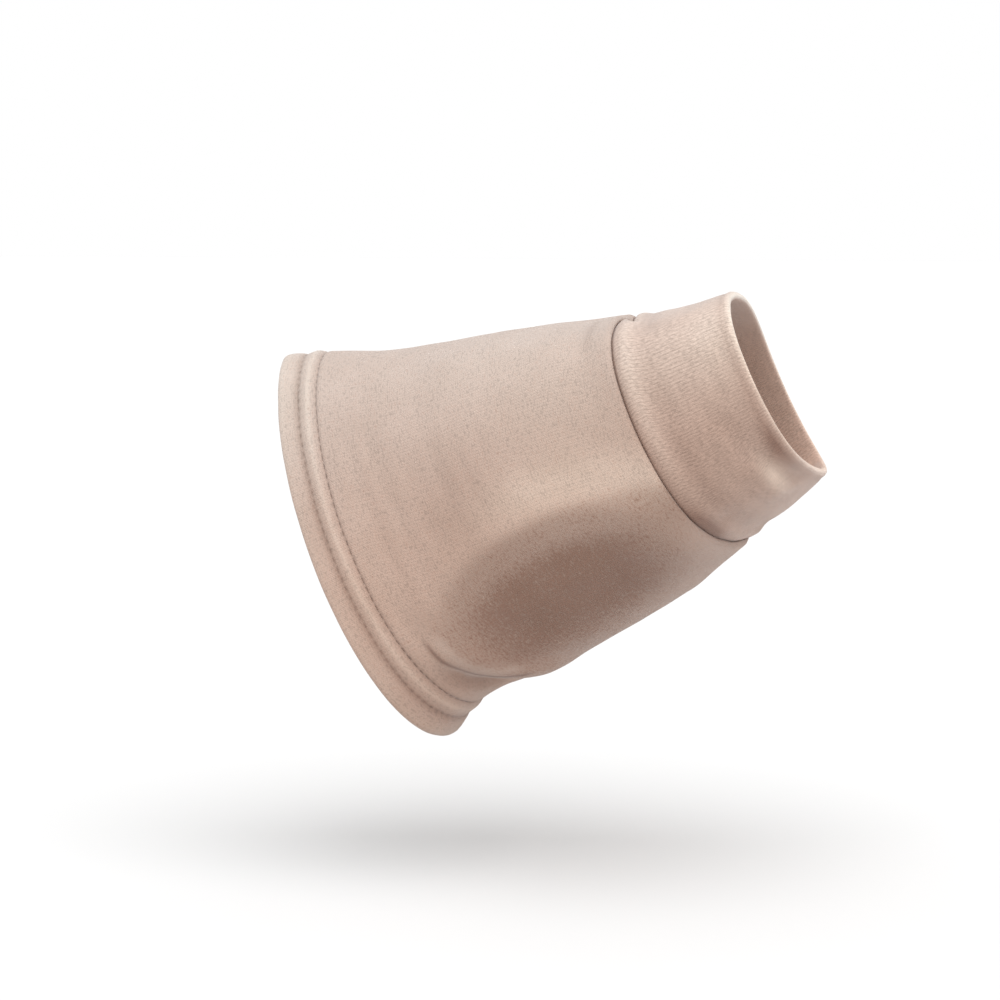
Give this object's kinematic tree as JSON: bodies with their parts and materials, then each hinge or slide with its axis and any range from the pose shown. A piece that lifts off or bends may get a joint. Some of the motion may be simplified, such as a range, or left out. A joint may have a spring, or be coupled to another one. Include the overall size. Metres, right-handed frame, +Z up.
{
  "type": "arch support sleeve",
  "caption": "Knitted sleeve for the middle of a left foot, open at both ends, with a turned hem, a folded toe band and a soft pad inside under the arch.",
  "frame": {"origin": "middle of the sleeve, inside it, where the middle of the foot sits", "axes": "+X towards the toes, -Y towards the inner side of the foot, +Z up; the sleeve rises 25 degrees towards the toes, as worn on a raised foot"},
  "size_m": [0.1362, 0.0915, 0.1124],
  "materials": {
    "sleeve_knit": "fine beige jersey knit, matt",
    "cuff_knit": "fine ribbed beige knit, matt",
    "pad_gel": "soft smooth gel, satin"
  },
  "bodies": {
    "root": {"sleeve_body": "sleeve_knit", "toe_cuff": "cuff_knit", "arch_pad": "pad_gel"}
  },
  "joints": []
}
